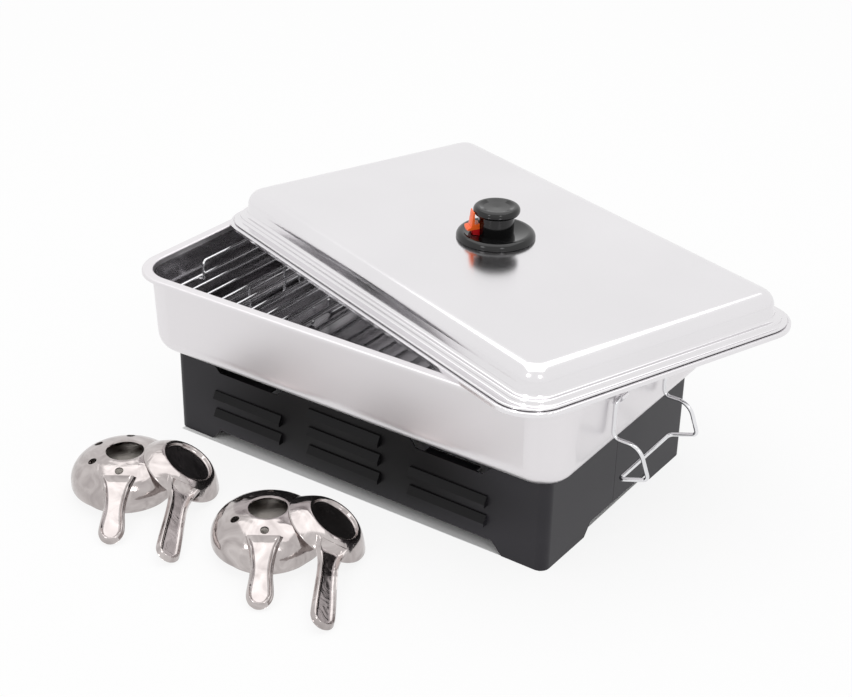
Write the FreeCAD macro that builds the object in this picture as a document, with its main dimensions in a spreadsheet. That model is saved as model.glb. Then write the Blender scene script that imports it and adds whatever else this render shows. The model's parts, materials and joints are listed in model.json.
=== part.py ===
import FreeCAD, Part
import math
import os
import Sketcher

from FreeCAD import Placement, Rotation, Vector

# Table smoker: a black sheet stand, a drawn steel pan with two wire racks, a loose domed lid
# with a knob, two wire bail handles and two spirit burners with their snuffer caps.
# Millimetres. The stand's long side runs along X, its front faces -Y, the table is z = 0.

doc = FreeCAD.newDocument("TableSmoker")
sheet = doc.addObject("Spreadsheet::Sheet", "Size")

# Driving sizes
sizes = {
    # where the set stands, so that the origin is under the middle of the whole set
    "set_x": -20.17, "set_y": 17.4,
    # stand, a little askew under the pan
    "stand_x": 1.46, "stand_y": 1.13, "stand_turn": -0.8,
    "stand_length": 360, "stand_width": 216, "stand_height": 76, "stand_corner": 8,
    "stand_sheet": 1.0, "seam_y": -7, "seam_gap": 0.3, "lap_length": 12, "lap_inset": 2,
    "foot_height": 10, "foot_slant": 10, "front_arch": 288, "end_arch": 106,
    "recess_depth": 11.5, "recess_bottom": 60, "recess_slant": 12, "recess_spacing": 98,
    "panel_shift": -4, "end_arch_shift": 2.5,
    "louvre_length": 70, "louvre_height": 9, "louvre_reach": 4.5, "louvre_sheet": 1.0,
    "louvre_row": 22, "louvre_pitch": 16.5, "louvre_spacing": 98,
    "rest_tab_length": 46, "rest_tab_reach": 8,
    # pan
    "pan_length": 408, "pan_width": 270, "pan_corner": 37, "pan_depth": 72,
    "pan_flange": 9, "pan_sheet": 1.0, "pan_draft": 2, "pan_foot_radius": 17,
    "pan_edge_radius": 1.5, "pan_hem": 3,
    # drip tray
    "tray_gap": 6, "tray_height": 9, "tray_sheet": 1.0, "tray_corner": 22, "tray_foot_radius": 5,
    # racks
    "wire": 2.4, "rack_wire": 3.4, "rack_gap": 3.2, "rack_corner": 30, "rack_pitch": 15.6,
    "low_rack_height": 16, "top_rack_height": 43, "weld_sink": 0.25,
    "grip_rise": 14, "grip_half": 65, "grip_inset": 7, "grip_foot_bend": 2.5,
    "grip_bend": 4, "grip_sink": 0.1,
    "leg_near": 10, "leg_far": 55, "leg_bend": 5, "rack_seat": 0.3,
    # lid
    "lid_length": 425, "lid_width": 274.6, "lid_corner": 34, "lid_sheet": 1.0,
    "lid_turn": -20.4, "lid_x": 33.5, "lid_y": 43.9, "lid_end_shift": 3.8,
    "flange_lap": 0.4,
    "hem_height": 3.2, "hem_width": 2.2, "groove_width": 0.8, "groove_depth": 1.2,
    "lid_flange_height": 5.1, "lid_flange_reach": 8.6, "lid_step": 1.9, "lid_ledge": 1.2,
    "lid_foot": 2.4, "lid_lean": 1, "lid_wall": 5, "lid_shoulder": 12.8,
    # knob
    "knob_disc": 31.8, "knob_edge": 1, "knob_roll": 4.6, "knob_crest": 1, "knob_floor": 3,
    "knob_stem": 14.3, "knob_cap": 18.7, "knob_height": 26.6, "knob_cap_height": 7,
    "knob_cap_round": 3.2, "knob_cap_land": 4.5, "knob_dish": 8, "knob_dish_depth": 1.8,
    "knob_screw": 3,
    "screw_head": 6, "screw_head_height": 3.6, "washer_radius": 11, "washer_height": 1.5,
    "screw_reach": 12,
    # vent slide
    "vent_angle": 247, "vent_sweep": 28, "vent_gap": 0.4, "vent_reach": 6.2, "vent_base": 5.8,
    "vent_flare": 0.8, "vent_tab_reach": 11, "vent_tab_height": 20.4, "vent_ledge": 1.2,
    "vent_tab_sheet": 1.2, "vent_cap_gap": 0.6, "vent_tab_root": 4.5,
    # bail handles
    "bail_wire": 3.2, "bail_half": 40, "bail_shift": -12.6, "bail_below_rim": 22.8,
    "bail_pin": 13.5, "bail_drop": 30.5, "bail_out": 22, "bail_reach": 31, "bail_lower": 55,
    "bail_bar_x": 8, "bail_bar_drop": 62.5, "bail_clearance": 0.08, "bail_top_bend": 5,
    "bail_elbow": 6, "bail_shoulder": 14, "bail_heel": 3.5, "bail_bar_bend": 4,
    "ear_length": 9, "ear_wall": 1.2, "ear_sheet": 1.2, "ear_drop": 6, "ear_rise": 3,
    "ear_stand_off": 3.6, "ear_seat": 0.1, "ear_end_gap": 0.4,
    # burners
    "burner_radius": 43, "burner_rim": 12, "burner_roll": 6, "burner_skirt": 7.5,
    "burner_lip": 36, "burner_foot": 36, "burner_foot_round": 2, "cup_flare": 2.5,
    "burner_mouth": 14.5, "burner_shoulder": 20, "burner_sheet": 1.0, "burner_turn": -55.8,
    "cup_gap": 0.3, "air_hole": 3.3, "air_hole_place": 26.5,
    "gauze_height": 25, "gauze_sheet": 0.8, "gauze_gap": 0.8, "wool_gap": 1,
    "burner_1_x": -144.1, "burner_1_y": -204.7, "burner_2_x": -2.9, "burner_2_y": -201.6,
    "burner_root": 30, "burner_length": 79, "burner_tip_height": 1.2, "burner_slope": 22,
    # snuffers
    "snuffer_radius": 33.4, "snuffer_height": 12, "snuffer_dish": 20.6, "snuffer_dish_depth": 3, "snuffer_dish_lean": 1.1,
    "snuffer_crest": 22, "snuffer_flange": 1.5, "snuffer_window": 4,
    "snuffer_root": 25, "snuffer_length": 102, "snuffer_tip_height": -9, "snuffer_slope": 9,
    "snuffer_side": 43.25, "snuffer_lift": 18.17, "snuffer_lean": 32.2, "snuffer_tilt": 33,
    "snuffer_turn": -83,
    # pressed handles of burners and snuffers
    "handle_bend": 14, "handle_edge": 2.6, "handle_root": 15, "handle_waist": 24,
    "handle_neck": 6.8, "handle_tip": 9.8,
}
for row, (name, value) in enumerate(sizes.items(), start=1):
    sheet.set(f"A{row}", name)
    sheet.set(f"B{row}", str(value))
    sheet.setAlias(f"B{row}", name)

# Heights and insets worked out from the driving sizes
derived = {
    "rim_z": "=stand_height + pan_depth",
    "pan_floor": "=stand_height + pan_sheet",
    "pan_wall_inset": "=pan_flange - pan_sheet",
    "pan_plate_inset": "=pan_wall_inset + pan_draft + pan_foot_radius",
    "tray_inset": "=pan_plate_inset + tray_gap",
    "tray_top": "=pan_floor + tray_height",
    "rack_inset": "=pan_flange + pan_draft + rack_gap",
    "low_rack_z": "=pan_floor + low_rack_height",
    "top_rack_z": "=pan_floor + top_rack_height",
    "groove_end": "=hem_width + groove_width",
    "groove_floor": "=hem_height - groove_depth",
    "lid_ledge_height": "=lid_flange_height + 2 * lid_step",
    "lid_ledge_end": "=lid_flange_reach + 2 * lid_step + lid_ledge",
    "lid_wall_inset": "=lid_ledge_end + lid_foot",
    "lid_wall_foot": "=lid_ledge_height + lid_foot",
    "lid_shoulder_z": "=lid_wall_foot + lid_wall",
    "lid_shoulder_inset": "=lid_wall_inset + lid_lean",
    "lid_plate_inset": "=lid_shoulder_inset + lid_shoulder",
    "lid_top": "=lid_shoulder_z + lid_shoulder",
    "dome_length": "=lid_length + 2 * lid_end_shift",
    "flange_start": "=groove_end + lid_sheet + lid_end_shift",
    "knob_z": "=rim_z + lid_top",
    "knob_fall": "=(knob_edge + knob_roll - knob_floor)"
                 " / (knob_disc - knob_roll - knob_crest - knob_stem)",
    "bail_z": "=rim_z - bail_below_rim",
    "wall_lean": "=pan_draft / (pan_depth - pan_edge_radius - pan_foot_radius)",
    "bail_x": "=pan_length / 2 - pan_wall_inset - wall_lean * (bail_below_rim - pan_edge_radius)"
              " + ear_seat + ear_stand_off / cos(atan(wall_lean))",
    "ear_bore": "=bail_wire / 2 + bail_clearance",
    "dome_cone": "=burner_radius + burner_rim",
    "skirt_cone": "=snuffer_crest + snuffer_height",
}
for row, (name, formula) in enumerate(derived.items(), start=len(sizes) + 1):
    sheet.set(f"A{row}", name)
    sheet.set(f"B{row}", formula)
    sheet.setAlias(f"B{row}", name)
doc.recompute()

parts = []


def value(name):
    return float(getattr(sheet, name))


def number(expression):
    return float(doc.getObject("Size").evalExpression(expression))


def bind(obj, prop, expression):
    obj.setExpression(prop, named(expression))


def named(expression):
    # every alias in a formula gets its sheet's name in front
    words = ""
    word = ""
    for letter in str(expression) + " ":
        if letter.isalnum() or letter == "_":
            word += letter
            continue
        if word in sizes or word in derived:
            word = "Size." + word
        words += word + letter
        word = ""
    return words.strip()


def place(obj, x="0", y="0", z="0", turn="0", axis=Vector(0, 0, 1)):
    # every piece stands in the set's frame, moved by set_x and set_y
    obj.Placement = Placement(Vector(), Rotation(axis, number(named(turn))))
    bind(obj, "Placement.Base.x", f"set_x + {x}")
    bind(obj, "Placement.Base.y", f"set_y + {y}")
    bind(obj, "Placement.Base.z", z)
    if turn != "0":
        bind(obj, "Placement.Rotation.Angle", turn)


def new_body(label):
    body = doc.addObject("PartDesign::Body", label)
    body.Label = label
    parts.append(body)
    return body


def plane(body, role):
    return [feature for feature in body.Origin.OriginFeatures if feature.Role == role][0]


def new_sketch(body, name, role="XY_Plane", height="0"):
    sketch = body.newObject("Sketcher::SketchObject", name)
    sketch.AttachmentSupport = [(plane(body, role), "")]
    sketch.MapMode = "FlatFace"
    if height != "0":
        bind(sketch, "AttachmentOffset.Base.z", height)
    doc.recompute()
    return sketch


def outline(sketch, steps):
    # steps: (x, y) for a straight run to a point, (x, y, cx, cy, r) for an arc under a half turn
    ends = [Vector(number(named(s[0])), number(named(s[1])), 0) for s in steps]
    clockwise = [False] * len(steps)
    for index, step in enumerate(steps):
        start = ends[index - 1]
        end = ends[index]
        if len(step) == 2:
            sketch.addGeometry(Part.LineSegment(start, end), False)
            continue
        centre = Vector(number(named(step[2])), number(named(step[3])), 0)
        clockwise[index] = (start - centre).cross(end - centre).z < 0
        first, last = (end, start) if clockwise[index] else (start, end)
        from_angle = math.atan2(first.y - centre.y, first.x - centre.x)
        to_angle = math.atan2(last.y - centre.y, last.x - centre.x)
        ring = Part.Circle(centre, Vector(0, 0, 1), (first - centre).Length)
        sketch.addGeometry(Part.ArcOfCircle(ring, from_angle, to_angle), False)
    for index, step in enumerate(steps):
        end_point = 1 if clockwise[index] else 2
        following = (index + 1) % len(steps)
        start_point = 2 if clockwise[following] else 1
        sketch.addConstraint(Sketcher.Constraint("Coincident", index, end_point,
                                                 following, start_point))
        for kind, coordinate in (("DistanceX", step[0]), ("DistanceY", step[1])):
            now = number(named(coordinate))
            added = sketch.addConstraint(Sketcher.Constraint(kind, -1, 1, index, end_point, now))
            bind(sketch, f"Constraints[{added}]", coordinate)
        if len(step) > 2:
            radius = number(named(step[4]))
            added = sketch.addConstraint(Sketcher.Constraint("Radius", index, radius))
            bind(sketch, f"Constraints[{added}]", step[4])
    return sketch


def circle(sketch, x, y, radius):
    centre = Vector(number(named(x)), number(named(y)), 0)
    index = sketch.addGeometry(Part.Circle(centre, Vector(0, 0, 1), number(named(radius))), False)
    for kind, coordinate in (("DistanceX", x), ("DistanceY", y)):
        now = number(named(coordinate))
        added = sketch.addConstraint(Sketcher.Constraint(kind, -1, 1, index, 3, now))
        bind(sketch, f"Constraints[{added}]", coordinate)
    added = sketch.addConstraint(Sketcher.Constraint("Radius", index, number(named(radius))))
    bind(sketch, f"Constraints[{added}]", radius)


def rounded_rectangle(sketch, length, width, corner):
    # starts and ends in the middle of the front side
    x = f"({length}) / 2"
    y = f"({width}) / 2"
    r = f"({corner})"
    outline(sketch, [
        (f"{x} - {r}", f"-{y}"),
        (x, f"-{y} + {r}", f"{x} - {r}", f"-{y} + {r}", r),
        (x, f"{y} - {r}"),
        (f"{x} - {r}", y, f"{x} - {r}", f"{y} - {r}", r),
        (f"-{x} + {r}", y),
        (f"-{x}", f"{y} - {r}", f"-{x} + {r}", f"{y} - {r}", r),
        (f"-{x}", f"-{y} + {r}"),
        (f"-{x} + {r}", f"-{y}", f"-{x} + {r}", f"-{y} + {r}", r),
        ("0", f"-{y}"),
    ])


def pad(body, sketch, length, both_ways=False, backwards=False):
    feature = body.newObject("PartDesign::Pad", "Pad")
    feature.Profile = sketch
    feature.Midplane = both_ways
    feature.Reversed = backwards
    bind(feature, "Length", length)
    doc.recompute()
    return feature


def cut(body, sketch, length="0", both_ways=True, backwards=False):
    before = body.Shape.Volume
    feature = body.newObject("PartDesign::Pocket", "Pocket")
    feature.Profile = sketch
    feature.Midplane = both_ways
    feature.Reversed = backwards
    bind(feature, "Length", length)
    doc.recompute()
    if body.Shape.Volume > before - 1e-3:
        raise RuntimeError(f"{body.Label}: {sketch.Name} cuts nothing")
    return feature


def revolve(body, sketch, angle="360"):
    feature = body.newObject("PartDesign::Revolution", "Revolution")
    feature.Profile = sketch
    feature.ReferenceAxis = (sketch, ["V_Axis"])
    if angle == "360":
        feature.Angle = 360
    else:
        feature.Midplane = True
        bind(feature, "Angle", angle)
    doc.recompute()
    return feature


def sweep(body, section, path):
    feature = body.newObject("PartDesign::AdditivePipe", "Pipe")
    feature.Profile = section
    feature.Spine = (path, [])
    doc.recompute()
    return feature


def shift_rectangle(inset, length, width, corner):
    return f"{length} - 2 * ({inset})", f"{width} - 2 * ({inset})", f"{corner} - ({inset})"


# A section swept round a rounded rectangle; it starts at the front side's middle
def swept_rim(body, length, width, corner, section):
    path = new_sketch(body, "RimPath")
    rounded_rectangle(path, length, width, corner)
    profile = new_sketch(body, "RimSection", "YZ_Plane")
    front = f"-({width}) / 2"
    steps = []
    for step in section:
        moved = [f"{front} + {step[0]}", step[1]]
        if len(step) > 2:
            moved += [f"{front} + {step[2]}", step[3], step[4]]
        steps.append(tuple(moved))
    outline(profile, steps)
    sweep(body, profile, path)


# A drawn sheet piece: its rim section swept round, and a flat plate inside
def drawn_piece(label, length, width, corner, section, plate_inset, plate_bottom, thickness):
    body = new_body(label)
    swept_rim(body, length, width, corner, section)
    plate = new_sketch(body, "Plate", "XY_Plane", plate_bottom)
    rounded_rectangle(plate, *shift_rectangle(plate_inset, length, width, corner))
    pad(body, plate, thickness)
    return body


# Bent wire with round bends at its corners
def bent_wire(points, bends, radius):
    edges = []
    last = points[0]
    for index in range(1, len(points) - 1):
        corner = points[index]
        back = (points[index - 1] - corner).normalize()
        ahead = (points[index + 1] - corner).normalize()
        half = back.getAngle(ahead) / 2
        reach = bends[index - 1] / math.tan(half)
        start = corner + back * reach
        end = corner + ahead * reach
        inward = (back + ahead).normalize()
        middle = corner + inward * (bends[index - 1] / math.sin(half) - bends[index - 1])
        if (start - last).Length > 1e-6:
            edges.append(Part.LineSegment(last, start).toShape())
        edges.append(Part.Arc(start, middle, end).toShape())
        last = end
    edges.append(Part.LineSegment(last, points[-1]).toShape())
    path = Part.Wire(edges)
    direction = (points[1] - points[0]).normalize()
    section = Part.Wire([Part.makeCircle(radius, points[0], direction)])
    return path.makePipeShell([section], True, False)


def wire_feature(label, shapes):
    feature = doc.addObject("Part::Feature", label)
    feature.Label = label
    feature.Shape = shapes[0] if len(shapes) == 1 else Part.makeCompound(shapes)
    place(feature)
    parts.append(feature)
    return feature


# Stand: two U-shaped half shells that lap at the middle of each end
def stand_outline(sketch, side, near, inset="0"):
    # side is -1 for the front half, 1 for the rear half; near is where its ends stop
    x = f"(stand_length / 2 - {inset})"
    y = f"({side}) * (stand_width / 2 - {inset})"
    xi = f"(stand_length / 2 - {inset} - stand_sheet)"
    yi = f"({side}) * (stand_width / 2 - {inset} - stand_sheet)"
    r = f"(stand_corner - {inset})"
    ri = f"(stand_corner - {inset} - stand_sheet)"
    cx = f"(stand_length / 2 - stand_corner)"
    cy = f"({side}) * (stand_width / 2 - stand_corner)"
    outline(sketch, [
        (f"-{x}", cy),
        (f"-{cx}", y, f"-{cx}", cy, r),
        (cx, y),
        (x, cy, cx, cy, r),
        (x, near),
        (xi, near),
        (xi, cy),
        (cx, yi, cx, cy, ri),
        (f"-{cx}", yi),
        (f"-{xi}", cy, f"-{cx}", cy, ri),
        (f"-{xi}", near),
        (f"-{x}", near),
    ])


def trapezoid(sketch, centre, low_half, high_half, low, high):
    outline(sketch, [
        (f"{centre} - ({low_half})", low),
        (f"{centre} + ({low_half})", low),
        (f"{centre} + ({high_half})", high),
        (f"{centre} - ({high_half})", high),
    ])


def louvre_profile(sketch, side, z, inset, behind):
    # a hood that bulges out of the panel and is open below
    face = f"({side}) * stand_width / 2"
    reach = f"({side}) * (louvre_reach - ({inset}))"
    outline(sketch, [
        (f"{face} - ({side}) * ({behind})", z),
        (f"{face} - ({side}) * ({behind})", f"{z} + louvre_height - ({inset})"),
        (f"{face} + {reach} / 4", f"{z} + louvre_height - ({inset})"),
        (f"{face} + {reach}", f"{z} + louvre_height / 3"),
        (f"{face} + {reach}", z),
    ])


def stand_half(label, side, near):
    body = new_body(label)
    stand_outline_sketch = new_sketch(body, "PlanOutline")
    stand_outline(stand_outline_sketch, side, near)
    pad(body, stand_outline_sketch, "stand_height")
    arch = new_sketch(body, "FrontArch", "XZ_Plane")
    trapezoid(arch, "0", "front_arch / 2", "front_arch / 2 - foot_slant", "-1", "foot_height")
    cut(body, arch, "2 * stand_width")
    end_arch = new_sketch(body, "EndArch", "YZ_Plane")
    trapezoid(end_arch, "end_arch_shift", "end_arch / 2", "end_arch / 2 - foot_slant", "-1", "foot_height")
    cut(body, end_arch, "2 * stand_length")
    for hand in ("-1", "1"):
        recess = new_sketch(body, "Recess", "XZ_Plane")
        trapezoid(recess, f"panel_shift + ({hand}) * recess_spacing", "recess_bottom / 2",
                  "recess_bottom / 2 + recess_slant", "stand_height - recess_depth",
                  "stand_height + 1")
        cut(body, recess, "2 * stand_width")
        tab = new_sketch(body, "RestTab", "XY_Plane", "stand_height - recess_depth - stand_sheet")
        left = f"panel_shift + ({hand}) * recess_spacing - rest_tab_length / 2"
        outline(tab, [
            (left, f"({side}) * (stand_width / 2 - stand_sheet / 2)"),
            (f"{left} + rest_tab_length", f"({side}) * (stand_width / 2 - stand_sheet / 2)"),
            (f"{left} + rest_tab_length", f"({side}) * (stand_width / 2 - rest_tab_reach)"),
            (left, f"({side}) * (stand_width / 2 - rest_tab_reach)"),
        ])
        pad(body, tab, "stand_sheet")
    for hand, rows in (("-1", 2), ("0", 3), ("1", 2)):
        louvre_group(body, side, f"panel_shift + ({hand}) * louvre_spacing", rows)
    place(body, "stand_x", "stand_y", "0", "stand_turn")
    return body


def louvre_group(body, side, x, rows):
    hood = new_sketch(body, "Hood", "YZ_Plane", x)
    louvre_profile(hood, side, "louvre_row", "0", "stand_sheet / 2")
    solid = pad(body, hood, "louvre_length", both_ways=True)
    hollow = new_sketch(body, "HoodHollow", "YZ_Plane", x)
    louvre_profile(hollow, side, "louvre_row", "louvre_sheet", "2 * stand_sheet")
    opening = cut(body, hollow, "louvre_length - 2 * louvre_sheet")
    pattern = body.newObject("PartDesign::LinearPattern", "HoodRows")
    pattern.Originals = [solid, opening]
    pattern.Direction = (plane(body, "Z_Axis"), [""])
    pattern.Occurrences = rows
    bind(pattern, "Length", f"{rows - 1} * louvre_pitch")
    body.Tip = pattern
    doc.recompute()


front = stand_half("stand_front_shell", "-1", "seam_y")
rear = stand_half("stand_rear_shell", "1", "seam_y + seam_gap")
for hand in ("-1", "1"):
    tongue = new_sketch(rear, "LapTongue", "XY_Plane", "foot_height + lap_inset")
    outline(tongue, [
        (f"({hand}) * (stand_length / 2 - 2 * stand_sheet)", "seam_y - lap_length"),
        (f"({hand}) * (stand_length / 2 - stand_sheet)", "seam_y - lap_length"),
        (f"({hand}) * (stand_length / 2 - stand_sheet)", "seam_y + lap_length"),
        (f"({hand}) * (stand_length / 2 - 2 * stand_sheet)", "seam_y + lap_length"),
    ])
    pad(rear, tongue, "stand_height - foot_height - 2 * lap_inset")

# Pan: flange with a turned-down hem, drafted wall, wide foot radius
pan = drawn_piece(
    "pan", "pan_length", "pan_width", "pan_corner", [
        ("0", "rim_z - pan_edge_radius"),
        ("pan_edge_radius", "rim_z", "pan_edge_radius", "rim_z - pan_edge_radius",
         "pan_edge_radius"),
        ("pan_flange - pan_edge_radius", "rim_z"),
        ("pan_flange", "rim_z - pan_edge_radius", "pan_flange - pan_edge_radius",
         "rim_z - pan_edge_radius", "pan_edge_radius"),
        ("pan_flange + pan_draft", "stand_height + pan_foot_radius"),
        ("pan_plate_inset", "pan_floor", "pan_plate_inset", "stand_height + pan_foot_radius",
         "pan_foot_radius - pan_sheet"),
        ("pan_plate_inset", "stand_height"),
        ("pan_wall_inset + pan_draft", "stand_height + pan_foot_radius", "pan_plate_inset",
         "stand_height + pan_foot_radius", "pan_foot_radius"),
        ("pan_wall_inset", "rim_z - pan_edge_radius"),
        ("pan_wall_inset", "rim_z - pan_sheet"),
        ("pan_sheet", "rim_z - pan_sheet"),
        ("pan_sheet", "rim_z - pan_hem"),
        ("0", "rim_z - pan_hem"),
    ], "pan_plate_inset", "stand_height", "pan_sheet")
place(pan)

# Drip tray on the pan's floor
tray_size = shift_rectangle("tray_inset", "pan_length", "pan_width", "tray_inset + tray_corner")
tray = drawn_piece(
    "drip_tray", *tray_size, [
        ("0", "tray_top"),
        ("tray_sheet", "tray_top"),
        ("tray_sheet", "pan_floor + tray_foot_radius"),
        ("tray_foot_radius", "pan_floor + tray_sheet", "tray_foot_radius",
         "pan_floor + tray_foot_radius", "tray_foot_radius - tray_sheet"),
        ("tray_foot_radius", "pan_floor"),
        ("0", "pan_floor + tray_foot_radius", "tray_foot_radius",
         "pan_floor + tray_foot_radius", "tray_foot_radius"),
    ], "tray_foot_radius", "pan_floor", "tray_sheet")
place(tray)

# Lid: pressed step, ledge, leaning wall and shoulder, which lie nearer the hem at the ends
lid = drawn_piece(
    "lid", "dome_length", "lid_width", "lid_corner", [
        ("flange_start", "lid_flange_height"),
        ("lid_flange_reach", "lid_flange_height"),
        ("lid_flange_reach + lid_step", "lid_flange_height + lid_step", "lid_flange_reach",
         "lid_flange_height + lid_step", "lid_step"),
        ("lid_flange_reach + 2 * lid_step", "lid_ledge_height", "lid_flange_reach + 2 * lid_step",
         "lid_flange_height + lid_step", "lid_step"),
        ("lid_ledge_end", "lid_ledge_height"),
        ("lid_wall_inset", "lid_wall_foot", "lid_ledge_end", "lid_wall_foot", "lid_foot"),
        ("lid_shoulder_inset", "lid_shoulder_z"),
        ("lid_plate_inset", "lid_top", "lid_plate_inset", "lid_shoulder_z", "lid_shoulder"),
        ("lid_plate_inset", "lid_top - lid_sheet"),
        ("lid_shoulder_inset + lid_sheet", "lid_shoulder_z", "lid_plate_inset", "lid_shoulder_z",
         "lid_shoulder - lid_sheet"),
        ("lid_wall_inset + lid_sheet", "lid_wall_foot"),
        ("lid_ledge_end", "lid_ledge_height - lid_sheet", "lid_ledge_end", "lid_wall_foot",
         "lid_foot + lid_sheet"),
        ("lid_flange_reach + 2 * lid_step", "lid_ledge_height - lid_sheet"),
        ("lid_flange_reach + lid_step + lid_sheet", "lid_flange_height + lid_step",
         "lid_flange_reach + 2 * lid_step", "lid_flange_height + lid_step",
         "lid_step - lid_sheet"),
        ("lid_flange_reach", "lid_flange_height - lid_sheet", "lid_flange_reach",
         "lid_flange_height + lid_step", "lid_step + lid_sheet"),
        ("flange_start", "lid_flange_height - lid_sheet"),
    ], "lid_plate_inset", "lid_top - lid_sheet", "lid_sheet")
# rolled hem and groove, whose flange laps the dome's flange
swept_rim(lid, "lid_length", "lid_width", "lid_corner", [
    ("0", "hem_height - hem_width / 2"),
    ("hem_width / 2", "hem_height", "hem_width / 2", "hem_height - hem_width / 2",
     "hem_width / 2"),
    ("hem_width", "hem_height"),
    ("hem_width", "groove_floor"),
    ("groove_end", "groove_floor"),
    ("groove_end", "lid_flange_height - lid_sheet"),
    ("groove_end + lid_sheet", "lid_flange_height", "groove_end + lid_sheet",
     "lid_flange_height - lid_sheet", "lid_sheet"),
    ("flange_start + flange_lap", "lid_flange_height"),
    ("flange_start + flange_lap", "lid_flange_height - lid_sheet"),
    ("groove_end + lid_sheet", "lid_flange_height - lid_sheet"),
    ("groove_end + lid_sheet", "groove_floor - lid_sheet"),
    ("lid_sheet", "groove_floor - lid_sheet"),
    ("lid_sheet", "0"),
    ("0", "0"),
])
screw_hole = new_sketch(lid, "ScrewHole", "XY_Plane", "lid_top")
circle(screw_hole, "0", "0", "knob_screw")
cut(lid, screw_hole, "3 * lid_sheet")
place(lid, "lid_x", "lid_y", "rim_z", "lid_turn")

# Knob: disc with a raised rim, stem with a dished cap, screw and washer under the lid
def lid_body(label):
    body = new_body(label)
    place(body, "lid_x", "lid_y", "knob_z", "lid_turn")
    return body


def turned_piece(body, section):
    sketch = new_sketch(body, "Section", "XZ_Plane")
    outline(sketch, section)
    revolve(body, sketch)
    return body


turned_piece(lid_body("knob_base"), [
    ("knob_screw", "0"),
    ("knob_disc - knob_edge", "0"),
    ("knob_disc", "knob_edge", "knob_disc - knob_edge", "knob_edge", "knob_edge"),
    ("knob_disc - knob_roll", "knob_edge + knob_roll", "knob_disc - knob_roll", "knob_edge",
     "knob_roll"),
    ("knob_disc - knob_roll - knob_crest", "knob_edge + knob_roll"),
    ("knob_stem", "knob_floor"),
    ("knob_screw", "knob_floor"),
])
turned_piece(lid_body("knob_grip"), [
    ("knob_screw", "knob_floor"),
    ("knob_stem", "knob_floor"),
    ("knob_stem", "knob_height - knob_cap_height"),
    ("knob_cap - knob_cap_round", "knob_height - knob_cap_height"),
    ("knob_cap", "knob_height - knob_cap_height + knob_cap_round", "knob_cap - knob_cap_round",
     "knob_height - knob_cap_height + knob_cap_round", "knob_cap_round"),
    ("knob_cap", "knob_height - knob_cap_round"),
    ("knob_cap - knob_cap_round", "knob_height", "knob_cap - knob_cap_round",
     "knob_height - knob_cap_round", "knob_cap_round"),
    ("knob_cap - knob_cap_land", "knob_height"),
    ("knob_cap - knob_dish", "knob_height - 2 / 3 * knob_dish_depth"),
    ("0", "knob_height - knob_dish_depth"),
    ("0", "screw_reach"),
    ("knob_screw", "screw_reach"),
])
turned_piece(lid_body("knob_bolt"), [
    ("0", "screw_reach"),
    ("0", "-lid_sheet - washer_height - screw_head_height"),
    ("screw_head - 1", "-lid_sheet - washer_height - screw_head_height"),
    ("screw_head", "-lid_sheet - washer_height - screw_head_height + 1", "screw_head - 1",
     "-lid_sheet - washer_height - screw_head_height + 1", "1"),
    ("screw_head", "-lid_sheet - washer_height"),
    ("knob_screw", "-lid_sheet - washer_height"),
    ("knob_screw", "screw_reach"),
])
turned_piece(lid_body("knob_washer"), [
    ("knob_screw", "-lid_sheet - washer_height"),
    ("washer_radius", "-lid_sheet - washer_height"),
    ("washer_radius", "-lid_sheet"),
    ("knob_screw", "-lid_sheet"),
])


# Vent slide: a red foot that turns round the stem, and an orange thumb tab on it
def vent_piece(label, section):
    body = new_body(label)
    sketch = new_sketch(body, "Section", "XZ_Plane")
    outline(sketch, section)
    revolve(body, sketch, "vent_sweep")
    place(body, "lid_x", "lid_y", "knob_z", "lid_turn + vent_angle")
    return body


vent_piece("vent_slide", [
    ("knob_stem + vent_gap", "knob_floor + vent_gap"),
    ("knob_stem + vent_reach", "knob_floor + vent_gap + vent_reach * knob_fall"),
    ("knob_stem + vent_reach + vent_flare", "knob_floor + vent_base"),
    ("knob_stem + vent_gap", "knob_floor + vent_base"),
])
tab_foot = "knob_floor + vent_base"
vent_piece("vent_tab", [
    ("knob_stem + vent_gap", tab_foot),
    ("knob_stem + vent_tab_reach", tab_foot),
    ("knob_stem + vent_tab_reach", f"{tab_foot} + vent_ledge"),
    ("knob_stem + vent_reach + 2 * vent_flare", f"{tab_foot} + 2 * vent_ledge"),
    ("knob_cap + vent_cap_gap + vent_tab_sheet", "knob_floor + vent_tab_height"),
    ("knob_cap + vent_cap_gap", "knob_floor + vent_tab_height"),
    ("knob_cap + vent_cap_gap", f"{tab_foot} + vent_tab_root"),
    ("knob_stem + vent_gap", f"{tab_foot} + vent_tab_root"),
])


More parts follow.
